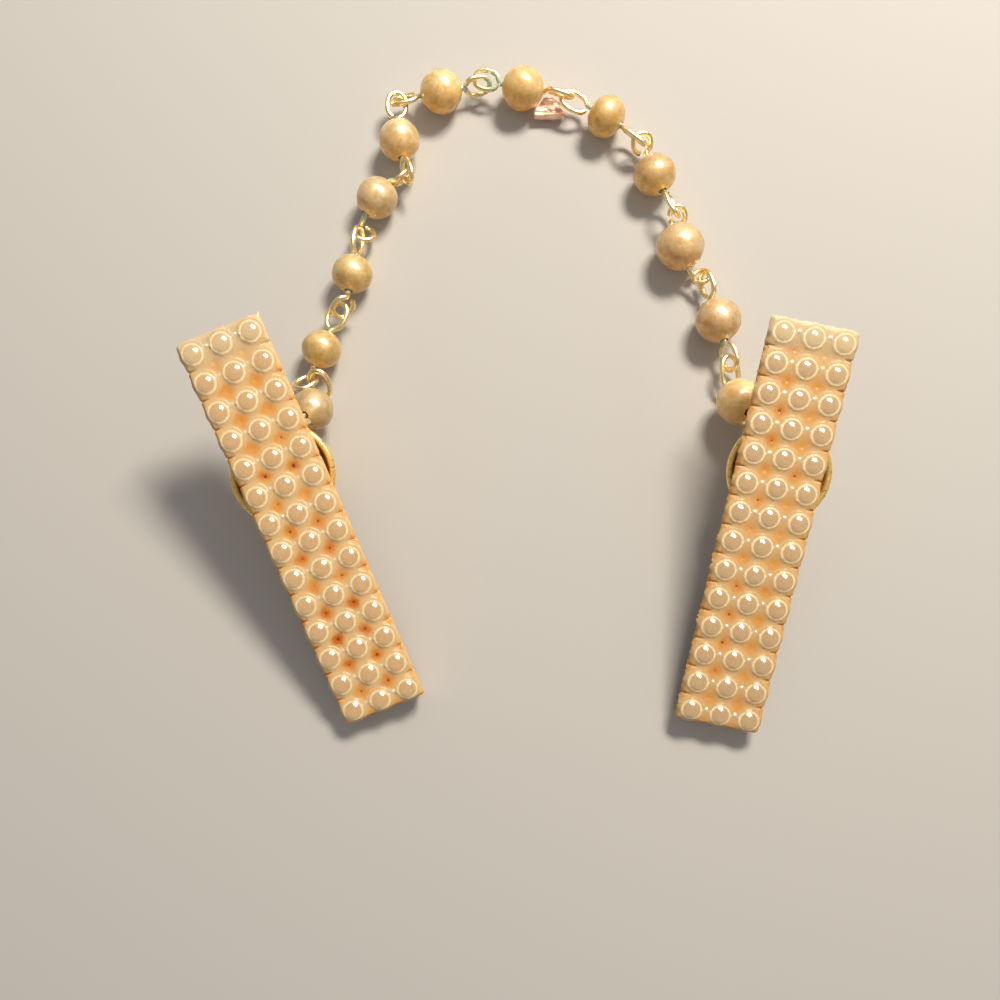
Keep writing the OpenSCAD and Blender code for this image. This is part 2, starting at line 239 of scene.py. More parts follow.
def cell_point(side, plan):
    """The cell that a point of the plan lies in, and its place from the cell's middle.

    The plan counts in cells. Its even steps outwards stay even up the bead, and grow
    over the skin, as far as the next cell or the plate's edge.
    """
    column = min(COLUMNS - 1, int(plan.x + TINY))
    row = min(ROWS - 1, int(plan.y + TINY))
    u = 2 * (plan.x - column) - 1
    v = 2 * (plan.y - row) - 1
    reach = max(abs(u), abs(v))
    if reach < TINY:
        return column, row, Vector((0, 0, 0))
    away = Vector((u, v)).normalized()
    foot = BEAD_STEPS / STEPS
    if reach <= foot + TINY:
        slope = asin(BEAD_FOOT / BEAD) * reach / foot
        return column, row, Vector((*(away * BEAD * sin(slope)), 0))
    outer_x = outward(u, column, COLUMNS)
    outer_y = outward(v, row, ROWS)
    edge = Vector((
        u / reach * (MARGIN if outer_x else PITCH / 2),
        v / reach * (MARGIN if outer_y else PITCH / 2),
    ))
    if outer_x and abs(u) >= abs(v):
        edge.x = (1 if u > 0 else -1) * edge_reach(side, "+x" if u > 0 else "-x", edge.y, row)
    if outer_y and abs(v) >= abs(u):
        edge.y = (1 if v > 0 else -1) * edge_reach(side, "+y" if v > 0 else "-y", edge.x, column)
    step = ((reach - foot) / (1 - foot)) ** STEP_GROWTH
    flat = away * BEAD_FOOT * (1 - step) + edge * step
    return column, row, Vector((*flat, 0))


# The skin hangs between the beads like a soft sheet. It has a lip round each bead,
# nubs halfway along a row, pits where four beads meet, and creases at the edges.

# Its height, how much and from how far beads lift it, and how softly it meets them
SKIN_BASE = 2.5
SKIN_RISE = 0.72
SKIN_SPREAD = 1.3
FILLET = 0.1
# The lip, with its lobes, the nubs, with a drop on the lip beside each, the pits, the
# creases, and the fall to the plate's edge
LIP_RISE = 0.06
LIP_AT = 1.27
LIP_WIDTH = 0.14
LIP_LOBES = 11
LOBE_DEPTH = 0.35
NUB_RISE = 0.2
NUB_WIDTH = 0.14
NUB_UP = 0.35
DROP_WIDTH = 0.7 * NUB_WIDTH
PIT_DEPTH = 0.1
PIT_WIDTH = 0.22
CREASE_DEPTH = 0.3
CREASE_WIDTH = 0.11
CREASE_FROM = 0.2
CREASE_GROWS = 1.1
EDGE_DROP = 1.5
EDGE_FROM = 1.3


def nearness(x, y, column, row, endless=False):
    """How near the beads round a place are, from about 0.1 in a pit to 0.4 at a foot.

    An endless skin has no edges, as though the beads went on past them.
    """
    total = 0.0
    for right in (-1, 0, 1):
        for up in (-1, 0, 1):
            if endless or (0 <= column + right < COLUMNS and 0 <= row + up < ROWS):
                far = (x - right * PITCH) ** 2 + (y - up * PITCH) ** 2
                total += exp(-far / SKIN_SPREAD ** 2)
    return total


def crease_at(x, y, column):
    """How deep in the crease between two rows a place is, from 0 to 1."""
    if not outward(x, column, COLUMNS):
        return 0.0
    grown = min(1.0, max(0.0, (abs(x) - CREASE_FROM) / CREASE_GROWS))
    return grown * exp(-((abs(y) - PITCH / 2) / CREASE_WIDTH) ** 2)


def nub_at(x, y, column, row):
    """How far up the nub between two beads of a row, or the drop beside it, a place is."""
    gap = column + (1 if x > 0 else 0)
    if gap in (0, COLUMNS):
        return 0.0
    size = 0.5 + 1.3 * abs(noise.noise(Vector((gap * 3.3, row * 1.7, 0.5))))
    nub = exp(-((abs(x) - PITCH / 2) ** 2 + (y - NUB_UP) ** 2) / NUB_WIDTH ** 2)
    drop = exp(-((abs(x) - LIP_AT) ** 2 + (y - NUB_UP / 2) ** 2) / DROP_WIDTH ** 2)
    return min(1.0, size * max(nub, 0.8 * drop))


def bead_height(away):
    """Height of a bead's ball at a distance from its middle."""
    return BEAD_Z + sqrt(max(0.0, BEAD ** 2 - away ** 2))


def filleted(first, last):
    """The higher of two heights, with the corner between them rounded off."""
    return (first + last + sqrt((first - last) ** 2 + FILLET ** 2)) / 2


def skin_height(x, y, column, row):
    """Height of the skin at a place within a cell, under the bead or beside it."""
    away = hypot(x, y)
    height = SKIN_BASE + SKIN_RISE * nearness(x, y, column, row)
    lobes = 1 + LOBE_DEPTH * cos(LIP_LOBES * atan2(y, x) + 2.1 * row + column)
    height += LIP_RISE * lobes * exp(-((away - LIP_AT) / LIP_WIDTH) ** 2)
    height += NUB_RISE * nub_at(x, y, column, row) - CREASE_DEPTH * crease_at(x, y, column)
    corner = (abs(x) - PITCH / 2) ** 2 + (abs(y) - PITCH / 2) ** 2
    height -= PIT_DEPTH * exp(-corner / PIT_WIDTH ** 2)
    if outward(x, column, COLUMNS):
        height -= EDGE_DROP * max(0.0, abs(x) - EDGE_FROM)
    if outward(y, row, ROWS):
        height -= EDGE_DROP * max(0.0, abs(y) - EDGE_FROM)
    return height


# Stains: the gap between columns, the gap between rows, how deep the stain is
STAINS = [
    [(1, 9, 0.6), (1, 8, 0.25), (1, 7, 0.4), (1, 6, 0.75), (1, 5, 0.4), (1, 4, 0.9), (1, 3, 1.0),
     (1, 2, 0.75), (1, 1, 0.3), (2, 9, 0.65), (2, 8, 0.3), (2, 7, 0.3), (2, 6, 0.6), (2, 5, 0.3),
     (2, 4, 0.95), (2, 3, 0.85), (2, 2, 0.6), (2, 1, 0.4), (1, 13, 0.3), (2, 10, 0.25),
     (0, 5, 0.7), (0, 4, 0.8), (0, 3, 0.7), (0, 2, 0.5)],
    [(1, 13, 0.3), (1, 12, 0.3), (1, 11, 0.4), (1, 10, 0.45), (1, 9, 0.35), (1, 8, 0.35),
     (1, 7, 0.4), (1, 6, 0.35), (1, 5, 0.4), (1, 4, 0.35), (1, 3, 0.45), (1, 2, 0.35),
     (1, 1, 0.3), (2, 9, 0.25), (2, 5, 0.4), (2, 2, 0.35), (3, 13, 0.7), (3, 12, 0.7)],
]
# How far a stain and the pinhole in its middle spread, squared and plain
STAIN_SPREAD = 0.5
PINHOLE = 0.2


def stain_at(side, plan):
    """How deep in a stain a place is, and how near its pinhole, both 0 where none is."""
    depth = 0.0
    near = 0.0
    for gap, row, amount in STAINS[side]:
        far = ((plan.x - gap) ** 2 + (plan.y - row) ** 2) * PITCH ** 2
        depth = max(depth, amount * exp(-far / STAIN_SPREAD))
        near = max(near, min(1.0, amount + 0.4) * exp(-far / PINHOLE ** 2))
    return depth, near


# Clouds and specks, a shader group that the plastic, the pearls, the cement and the
# verdigris share, and the steps that materials are put together from
def effect_group(name, inputs, outputs):
    """An empty shader group with named numbers in and named values out."""
    group = bpy.data.node_groups.new(name, "ShaderNodeTree")
    for socket, kind, value in inputs:
        made = group.interface.new_socket(socket, in_out="INPUT", socket_type="NodeSocket" + kind)
        made.default_value = value
    for socket, kind in outputs:
        group.interface.new_socket(socket, in_out="OUTPUT", socket_type="NodeSocket" + kind)
    return group, group.nodes.new("NodeGroupInput"), group.nodes.new("NodeGroupOutput")


def band(tree, value, low, high, start=0.0, end=1.0):
    """A soft step of a value from start at low to end at high."""
    node = put(tree, "MapRange", {"interpolation_type": "SMOOTHSTEP"}, Value=value,
               From_Min=low, From_Max=high, To_Min=start, To_Max=end)
    return node.outputs["Result"]


def blend_colours(tree, factor, first, second, mode="MIX"):
    """From the first colour to the second one."""
    settings = {"data_type": "RGBA", "blend_type": mode}
    return put(tree, "Mix", settings, _0=factor, _6=first, _7=second).outputs[2]


def blend_directions(tree, factor, first, second, clamp=True):
    """From the first direction towards the second, or away from it where not clamped."""
    settings = {"data_type": "VECTOR", "clamp_factor": clamp}
    return put(tree, "Mix", settings, _0=factor, _4=first, _5=second).outputs[1]


def calculate(tree, operation, first, second):
    """One step of arithmetic on two values."""
    return put(tree, "Math", {"operation": operation}, _0=first, _1=second).outputs["Value"]


clouds, taken, given = effect_group(
    "pearl_clouds",
    [("Cloud Size", "Float", 1.0), ("Speck Size", "Float", 0.2)],
    [("Clouds", "Float"), ("Specks", "Float")],
)
coordinates = put(clouds, "TexCoord").outputs["Object"]
cloud_scale = calculate(clouds, "DIVIDE", 1 / MM, taken.outputs["Cloud Size"])
speck_scale = calculate(clouds, "DIVIDE", 1 / MM, taken.outputs["Speck Size"])
large = put(clouds, "TexNoise", Vector=coordinates, Scale=cloud_scale, Detail=3.0, Roughness=0.6)
small = put(clouds, "TexNoise", Vector=coordinates, Scale=speck_scale, Detail=2.0, Roughness=0.7)
clouds.links.new(band(clouds, large.outputs["Fac"], 0.36, 0.64), given.inputs["Clouds"])
clouds.links.new(band(clouds, small.outputs["Fac"], 0.3, 0.7), given.inputs["Specks"])


def use_group(tree, group, **inputs):
    """Places a shader group in a material, and gives its outputs."""
    return put(tree, "Group", {"node_tree": group}, **inputs).outputs


# Ivory plastic, old glue and lacquer: stain and its pinhole, painted light on the lip of a
# bead, painted glints on its nubs, and painted light on the skin and the pearl of the far end
STAIN = (0.7, 0.17, 0.012, 1)
STAIN_CORE = (0.26, 0.06, 0.01, 1)
LIP_PAINTED_LIGHT = (1.0, 0.8, 0.47, 1)
NUB_PAINTED_GLINT = (1.0, 0.95, 0.76, 1)
# Painted light of the far end, on the skin and on the discs of pearl
FAR_END_LIT_SKIN = (0.76, 0.60, 0.36, 1)
FAR_END_LIT_PEARL = (0.90, 0.73, 0.42, 1)
# Each bar's own hollow, deeper hollow and skirt of a bead, then its pearl, dark and pale
MOULDING_COLOURS = [
    ((0.92, 0.48, 0.13, 1), (0.90, 0.40, 0.08, 1), (0.88, 0.60, 0.29, 1),
     (0.80, 0.50, 0.24, 1), (0.88, 0.59, 0.30, 1)),
    ((0.86, 0.45, 0.13, 1), (0.82, 0.39, 0.08, 1), (0.80, 0.52, 0.24, 1),
     (0.70, 0.46, 0.23, 1), (0.78, 0.54, 0.30, 1)),
]
# What the mesh tells the material: the distance from the bead's middle, and how much
# hollow, stain, painted glint of a nub, pinhole and painted light of the far end there is
SURFACE = ("away", "hollow", "stain", "spark", "pinhole", "far_light")
# Soft edges of the disc of pearl and of the lip round it, by that distance
DISC_EDGE = (0.9, 1.07)
LIP_INSIDE = (0.97, 1.08)
LIP_OUTSIDE = (1.17, 1.36)
# How evenly a bead and the skin are lit, and from where to where that changes
EVEN_BEAD = 0.9
EVEN_SKIN = 0.5
EVEN_EDGE = (1.3, 1.6)
# How far a lip's light is drawn to the softbox, and how much rounder the gloss is
LIP_TO_LIGHT = 0.5
ROUNDER = 0.55


def moulding_colour(tree, read, soft, valley, valley_deep, skirt, pearl_dark, pearl_pale):
    """Hollows and skirts, then stains, painted light of the far end and of the lips, painted glints on
    the nubs, pinholes, then the discs of pearl, painted paler at the far end.
    """
    patches = use_group(tree, clouds, Cloud_Size=7.0, Speck_Size=0.6)
    orange = blend_colours(tree, patches["Clouds"], valley, valley_deep)
    mottled = calculate(tree, "MULTIPLY", calculate(tree, "SUBTRACT", soft["Clouds"], 0.5), 0.25)
    uneven = calculate(tree, "ADD", read["hollow"], mottled)
    colour = blend_colours(tree, band(tree, uneven, 0.05, 0.95), skirt, orange)
    stained = calculate(tree, "ADD", read["stain"], calculate(tree, "MULTIPLY", mottled, 1.3))
    colour = blend_colours(tree, band(tree, stained, 0.08, 0.9), colour, STAIN)
    # Painted light: the skin of the far end is painted paler and yellower.
    colour = blend_colours(tree, read["far_light"], colour, FAR_END_LIT_SKIN)
    # Painted highlight: the lip round each bead is painted bright cream, as though it caught the light.
    colour = blend_colours(tree, read["lip"], colour, LIP_PAINTED_LIGHT)
    # Painted glints: the nubs, and the drops on the lip beside them, are painted near white.
    colour = blend_colours(tree, read["spark"], colour, NUB_PAINTED_GLINT)
    pinhole = calculate(tree, "ADD", read["pinhole"], calculate(tree, "MULTIPLY", mottled, 2.0))
    colour = blend_colours(tree, band(tree, pinhole, 0.4, 0.9), colour, STAIN_CORE)
    pearl = blend_colours(tree, soft["Specks"], pearl_dark, pearl_pale)
    # Painted light: the discs of the far end are painted paler.
    pearl = blend_colours(tree, read["far_light"], pearl, FAR_END_LIT_PEARL)
    return blend_colours(tree, read["disc"], colour, pearl)


def moulding_normals(tree, read, up):
    """The directions that light the plastic's body, and those that make its gloss.

    The plastic is translucent, so its body is lit more evenly than its shape would be:
    directions are drawn towards up, the way that the bar faces, and those of the lips
    towards the softbox too. The gloss is that of rounder beads than the mesh has.
    """
    crest = (up + LIP_TO_LIGHT * Vector(KEY_AT).normalized()).normalized()
    normal = put(tree, "NewGeometry").outputs["Normal"]
    faced = blend_directions(tree, read["lip"], up, crest)
    evened = band(tree, read["away"], *EVEN_EDGE, EVEN_BEAD, EVEN_SKIN)
    body = blend_directions(tree, evened, normal, faced)
    gloss = blend_directions(tree, -ROUNDER, normal, up, clamp=False)
    return [
        put(tree, "VectorMath", {"operation": "NORMALIZE"}, _0=direction).outputs["Vector"]
        for direction in (body, gloss)
    ]


def moulding_material(name, up, *colours):
    """Ivory plastic: a glossy disc of pearl on each bead, a lip painted bright as a highlight, stained
    hollows.
    """
    material, tree, shader = new_material(name)
    read = {key: put(tree, "Attribute", {"attribute_name": key}).outputs["Fac"] for key in SURFACE}
    soft = use_group(tree, clouds, Cloud_Size=1.6, Speck_Size=0.22)
    lip = calculate(tree, "MULTIPLY", band(tree, read["away"], *LIP_INSIDE),
                    band(tree, read["away"], *LIP_OUTSIDE, 1.0, 0.0))
    read["lip"] = calculate(tree, "MULTIPLY", lip, band(tree, soft["Specks"], 0.0, 1.0, 0.5, 1.0))
    read["disc"] = band(tree, read["away"], *DISC_EDGE, 1.0, 0.0)
    body, gloss = moulding_normals(tree, read, up)
    bump = put(tree, "Bump", Strength=0.2, Distance=0.00005, Height=soft["Specks"], Normal=body)
    glossy = calculate(tree, "MAXIMUM", read["disc"], read["spark"])
    set_shader(tree, shader, Base_Color=moulding_colour(tree, read, soft, *colours),
               Roughness=0.5, Normal=bump.outputs["Normal"], Specular_IOR_Level=0.25,
               Subsurface_Weight=0.3, Subsurface_Scale=0.0012, Subsurface_Radius=(1.0, 0.9, 0.8),
               Coat_Weight=band(tree, glossy, 0.0, 1.0, 0.08, 1.0), Coat_Roughness=0.17,
               Coat_IOR=1.7, Coat_Normal=gloss)
    return material


# Loops of the plate's wall from the film down: height, then how far past the margin
# the wall may reach across and along. Each is this much lower than the last one at
# least, and as orange as this much of a hollow.
WALL = [(1.65, 0.0, 0.12), (1.2, -0.25, 0.04), (0.12, -0.35, 0.03), (0.0, -0.45, -0.1)]
WALL_DROP = 0.08
WALL_HOLLOW = 0.35
# Painted light: the far end is painted paler and yellower, as though lit, and its hollows
# fade: over how many rows, over how many of them it fades, and how strong it is
FAR_LIGHT_ROWS = 1.4
FAR_LIGHT_FADES = 0.9
FAR_LIGHT_STRENGTH = 0.65
# A hollow: how near the beads are where it begins, and how much less in its middle,
# how far past the outer middles one begins too, and how much of one a crease is
HOLLOW_NEAR = 0.33
HOLLOW_RANGE = 0.2
HOLLOW_OUT = 1.2
HOLLOW_CREASE = 0.45


def surface_at(side, column, row, local, plan):
    """What the material is to read at a place, by name."""
    near = nearness(local.x, local.y, column, row, endless=True)
    crease = HOLLOW_CREASE * crease_at(local.x, local.y, column)
    outer = max(abs(plan.x - COLUMNS / 2) * PITCH - HALF_WIDTH - HOLLOW_OUT, 0.0)
    hollow = max(crease, (HOLLOW_NEAR - near) / HOLLOW_RANGE, outer)
    # Painted light of the far end, which also fades the hollows there
    far_light = min(1.0, max(0.0, (plan.y - ROWS + FAR_LIGHT_ROWS) / FAR_LIGHT_FADES))
    stain, pinhole = stain_at(side, plan)
    return {
        "away": hypot(local.x, local.y),
        "hollow": min(1.0, hollow) * (1 - far_light),
        "stain": stain,
        # The nubs: glossy, and painted near white as a glint.
        "spark": min(1.0, 2.0 * nub_at(local.x, local.y, column, row)),
        "pinhole": pinhole,
        "far_light": FAR_LIGHT_STRENGTH * far_light,
    }


def moulding(side):
    """Lifts a grid to the beads and the skin, and closes it with the wall and a floor."""
    bm = bmesh.new()
    cells = Matrix.Diagonal((COLUMNS, ROWS, 1, 1)) @ Matrix.Translation((0.5, 0.5, 0))
    bmesh.ops.create_grid(bm, x_segments=COLUMNS * 2 * STEPS, y_segments=ROWS * 2 * STEPS,
                          size=0.5, matrix=cells)
    layers = {name: bm.verts.layers.float.new(name) for name in SURFACE}
    corner = Vector((COLUMNS * PITCH / 2, ROWS * PITCH / 2, 0))
    for vert in bm.verts:
        column, row, local = cell_point(side, vert.co)
        middle = Vector(((column + 0.5) * PITCH, (row + 0.5) * PITCH, 0))
        for name, value in surface_at(side, column, row, local, (local + middle) / PITCH).items():
            vert[layers[name]] = value
        skin = skin_height(local.x, local.y, column, row)
        local.z = filleted(bead_height(hypot(local.x, local.y)), skin)
        vert.co = local + middle - corner
    rim = [edge for edge in bm.edges if edge.is_boundary]
    for height, out_x, out_y in WALL:
        far_x = HALF_WIDTH + MARGIN + out_x
        far_y = HALF_LENGTH + MARGIN + out_y
        made = bmesh.ops.extrude_edge_only(bm, edges=rim)["geom"]
        rim = [item for item in made if isinstance(item, bmesh.types.BMEdge)]
        for vert in {vert for edge in rim for vert in edge.verts}:
            vert.co.x = max(-far_x, min(far_x, vert.co.x))
            vert.co.y = max(-far_y, min(far_y, vert.co.y))
            vert.co.z = min(height, vert.co.z - WALL_DROP)
            vert[layers["hollow"]] = WALL_HOLLOW
            vert[layers["stain"]] = 0.0
            vert[layers["spark"]] = 0.0
    bmesh.ops.edgeloop_fill(bm, edges=rim)
    bmesh.ops.recalc_face_normals(bm, faces=bm.faces[:])
    name = "moulding_" + SIDES[side]
    up = bar_place(side).to_3x3() @ Vector((0, 0, 1))
    material = moulding_material("ivory_pearl_plastic_" + SIDES[side], up, *MOULDING_COLOURS[side])
    finish_piece(bm, name, material, "bar_" + SIDES[side], "root",
                 bar_place(side), 50)


for side in (LEFT, RIGHT):
    moulding(side)


# The dishes: gold plated sheet, stamped round, with the rim rolled over, two ears
# for the hinge and an eye soldered to the wall for the chain. Cement fills them.

# Tarnish, a shader group that all the metal shares
tarnish, taken, given = effect_group(
    "tarnish",
    [("Patch Size", "Float", 1.0), ("Amount", "Float", 0.5)],
    [("Patches", "Float"), ("Freckles", "Float"), ("Scratches", "Float")],
)
coordinates = put(tarnish, "TexCoord").outputs["Object"]
patch_scale = calculate(tarnish, "DIVIDE", 1 / MM, taken.outputs["Patch Size"])
freckle_scale = calculate(tarnish, "MULTIPLY", patch_scale, 5.0)
patch = put(tarnish, "TexNoise", Vector=coordinates, Scale=patch_scale, Detail=4.0, Roughness=0.65)
low = calculate(tarnish, "SUBTRACT", 0.72, calculate(tarnish, "MULTIPLY", taken.outputs["Amount"], 0.4))
high = calculate(tarnish, "ADD", low, 0.14)
tarnish.links.new(band(tarnish, patch.outputs["Fac"], low, high), given.inputs["Patches"])
freckle = put(tarnish, "TexNoise", Vector=coordinates, Scale=freckle_scale, Detail=2.0)
tarnish.links.new(band(tarnish, freckle.outputs["Fac"], 0.58, 0.68), given.inputs["Freckles"])
stretch = put(tarnish, "Mapping", Vector=coordinates, Scale=(1.0, 7.0, 3.0))
scratch = put(tarnish, "TexNoise", Vector=stretch.outputs["Vector"], Scale=1500.0, Detail=3.0)
tarnish.links.new(scratch.outputs["Fac"], given.inputs["Scratches"])


def metal_material(name, clean, dull, dark, patch_size, amount, roughness, metallic=1.0):
    """Metal with dull patches, dark freckles and fine scratches."""
    material, tree, shader = new_material(name)
    worn = use_group(tree, tarnish, Patch_Size=patch_size, Amount=amount)
    colour = blend_colours(tree, worn["Patches"], clean, dull)
    colour = blend_colours(tree, calculate(tree, "MULTIPLY", worn["Freckles"], 0.7), colour, dark)
    rough = band(tree, worn["Patches"], 0.0, 1.0, roughness, roughness + 0.25)
    bump = put(tree, "Bump", Strength=0.3, Distance=0.00003, Height=worn["Scratches"])
    set_shader(tree, shader, Base_Color=colour, Metallic=metallic, Roughness=rough,
               Normal=bump.outputs["Normal"])
    return material, tree, shader, colour


gold_plate = metal_material("worn_gold_plate", (1.0, 0.7, 0.22, 1), (0.9, 0.5, 0.13, 1),
                            (0.3, 0.12, 0.03, 1), 1.4, 0.35, 0.3, 0.65)[0]


# Corners this near to each other are one, and faces that turn this little are flat
SAME_PLACE = 0.0005
SAME_PLANE = 0.5


def merged_copy(node):
    """The frame's own mesh of a node, in millimetres, with its corners joined."""
    bm = bmesh.new()
    bm.from_mesh(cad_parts[node].data)
    bm.transform(Matrix.Scale(1 / MM, 4))
    bmesh.ops.remove_doubles(bm, verts=bm.verts[:], dist=SAME_PLACE)
    bmesh.ops.dissolve_limit(bm, angle_limit=radians(SAME_PLANE), verts=bm.verts[:],
                             edges=bm.edges[:])
    return bm


for side in SIDES:
    finish_piece(merged_copy("dish_" + side), "dish_shell_" + side, gold_plate,
                 "dish_" + side, "root")


# Cement in the dishes: brown and grainy. It set as it was poured, fills each dish up
# to the bar, and holds the bar there.
material, tree, shader = new_material("old_cement")
grain = use_group(tree, clouds, Cloud_Size=1.2, Speck_Size=0.15)
cement_colour = blend_colours(tree, grain["Clouds"], (0.36, 0.15, 0.05, 1), (0.52, 0.27, 0.1, 1))
bump = put(tree, "Bump", Strength=0.6, Distance=0.0001, Height=grain["Specks"])
set_shader(tree, shader, Base_Color=cement_colour, Roughness=0.6, Normal=bump.outputs["Normal"])
for side in SIDES:
    finish_piece(merged_copy("cement_" + side), "cement_fill_" + side, material,
                 "cement_" + side, "root")


# The jaws: bent sheet with a toothed lip, two cheeks on the pin and a thumb lever.
# Each turns on a headed pin, against a spring wound round it.
jaw_metal = metal_material("dull_gold_plate", (0.86, 0.58, 0.24, 1), (0.5, 0.32, 0.14, 1),
                           (0.12, 0.06, 0.03, 1), 1.8, 0.6, 0.3)[0]
for side in SIDES:
    finish_piece(merged_copy("jaw_" + side), "sprung_jaw_" + side, jaw_metal,
                 "jaw_" + side, "jaw_" + side)
    finish_piece(merged_copy("pin_" + side), "hinge_pin_" + side, gold_plate,
                 "pin_" + side, "root")


# The springs: steel wire wound round the pin, with one leg up on the dish and the
# other along the lever. Each turns with its jaw.
steel = metal_material("grey_spring_steel", (0.56, 0.54, 0.5, 1), (0.3, 0.22, 0.16, 1),
                       (0.1, 0.05, 0.03, 1), 0.8, 0.5, 0.32)[0]
# How far each clip is turned on its bar, and its pin and lever from the dish's middle
CLIP_TURN = [12, -12]
PIN_AT = Vector((0, 3.4, -5.0))
LEVER_SLOPE = 45.0
# The coil's radius and half its width on the pin, its whole turns and where it starts,
# then the radius of the wire, the tip of the upper leg and the length of the lower
COIL_RADIUS = 0.95
COIL_HALF = 1.40
COIL_TURNS = 6
COIL_START = 60.0
COIL_STEPS = 24
SPRING_WIRE = 0.2
DISH_LEG = Vector((COIL_HALF, 0.05, 1.95))
LEVER_LEG = 5.3


def dish_place(side):
    """Where the middle of a dish's rim lies under its bar, as a matrix in millimetres."""
    across, along = BARS[side][4:6]
    return bar_place(side) @ Matrix.Translation((across, along, 0))


def eased(points, rounds):
    """Rounds off the corners of a row of points."""
    for _ in range(rounds):
        middle = [
            (before + 2 * here + after) / 4
            for before, here, after in zip(points, points[1:], points[2:])
        ]
        points = [points[0]] + middle + [points[-1]]
    return points


def stepped(corners, step):
    """Points along the straight runs between corners, a step apart."""
    points = []
    for first, last in zip(corners, corners[1:]):
        count = max(1, round((last - first).length / step))
        points += [first.lerp(last, index / count) for index in range(count)]
    return points + [corners[-1]]


def wire_mesh(name, points, radius, rounding=3):
    """A bmesh of round wire that follows the points."""
    curve = bpy.data.curves.new(name, "CURVE")
    curve.dimensions = "3D"
    curve.bevel_depth = radius
    curve.bevel_resolution = rounding
    curve.use_fill_caps = True
    spline = curve.splines.new("POLY")
    spline.points.add(len(points) - 1)
    for point, place in zip(spline.points, points):
        point.co = (*place, 1)
    holder = bpy.data.objects.new(name, curve)
    bpy.context.scene.collection.objects.link(holder)
    bpy.context.view_layer.update()
    mesh = holder.to_mesh()
    bm = bmesh.new()
    bm.from_mesh(mesh)
    holder.to_mesh_clear()
    bpy.data.objects.remove(holder)
    bpy.data.curves.remove(curve)
    bmesh.ops.remove_doubles(bm, verts=bm.verts[:], dist=1e-5)
    bmesh.ops.recalc_face_normals(bm, faces=bm.faces[:])
    return bm


def spring_points():
    """The spring's wire in the clip's frame: leg on the dish, coils, leg on the lever."""
    turn = 360.0 * COIL_TURNS + COIL_START + LEVER_SLOPE
    count = COIL_STEPS * COIL_TURNS
    coils = []
    for index in range(count + 1):
        part = index / count
        angle = radians(COIL_START - turn * part)
        x = COIL_HALF * (1 - 2 * part)
        coils.append(PIN_AT + Vector((x, COIL_RADIUS * cos(angle), COIL_RADIUS * sin(angle))))
    dish_leg = stepped([PIN_AT + DISH_LEG, coils[0]], 0.15)
    way = Vector((0, cos(radians(LEVER_SLOPE)), -sin(radians(LEVER_SLOPE))))
    lever_leg = stepped([coils[-1], coils[-1] + LEVER_LEG * way], 0.2)
    return eased(dish_leg[:-1] + coils + lever_leg[1:], 2)


for index, side in enumerate(SIDES):
    bm = wire_mesh("spring", spring_points(), SPRING_WIRE)
    finish_piece(bm, "coil_spring_" + side, steel, "spring_" + side, "jaw_" + side,
                 dish_place(index) @ turned(CLIP_TURN[index], "Z"), 60)


# The pearls: drilled glass beads dipped in pearl lacquer, champagne coloured and
# mottled with age, the lacquer chipped a little round each hole.

# x, y, z of the middle, diameter, length along the hole for a width of 1, then the
# lacquer's tint on the upper far side, lit, and on the lower near side, with painted shade and glow
PEARLS = [
    (-25.8, -4.4, 3.7, 5.4, 1.0, (0.57, 0.44, 0.26), (0.49, 0.35, 0.17)),
    (-25.1, 4.0, 2.6, 5.2, 0.96, (0.62, 0.46, 0.20), (0.80, 0.54, 0.20)),
    (-21.4, 14.3, 2.7, 5.4, 0.95, (0.64, 0.50, 0.23), (0.78, 0.50, 0.19)),
    (-18.4, 25.0, 2.8, 5.5, 1.0, (0.67, 0.53, 0.33), (0.76, 0.50, 0.23)),
    (-15.6, 33.4, 2.8, 5.6, 1.0, (0.73, 0.58, 0.35), (0.84, 0.52, 0.21)),
    (-10.0, 40.5, 2.9, 5.8, 1.0, (0.77, 0.61, 0.31), (0.88, 0.52, 0.16)),
    (1.1, 41.0, 2.9, 5.8, 1.0, (0.76, 0.57, 0.27), (0.88, 0.51, 0.15)),
    (12.4, 36.8, 2.9, 5.7, 0.86, (0.66, 0.48, 0.21), (0.84, 0.50, 0.14)),
    (18.7, 28.3, 2.9, 5.7, 0.95, (0.62, 0.44, 0.21), (0.84, 0.52, 0.18)),
    (21.7, 17.9, 3.2, 6.3, 1.0, (0.62, 0.48, 0.28), (0.82, 0.50, 0.21)),
    (26.3, 7.8, 3.0, 5.9, 1.0, (0.60, 0.45, 0.26), (0.78, 0.48, 0.21)),
    (28.4, -3.5, 4.0, 6.0, 1.0, (0.86, 0.66, 0.36), (0.84, 0.54, 0.22)),
]
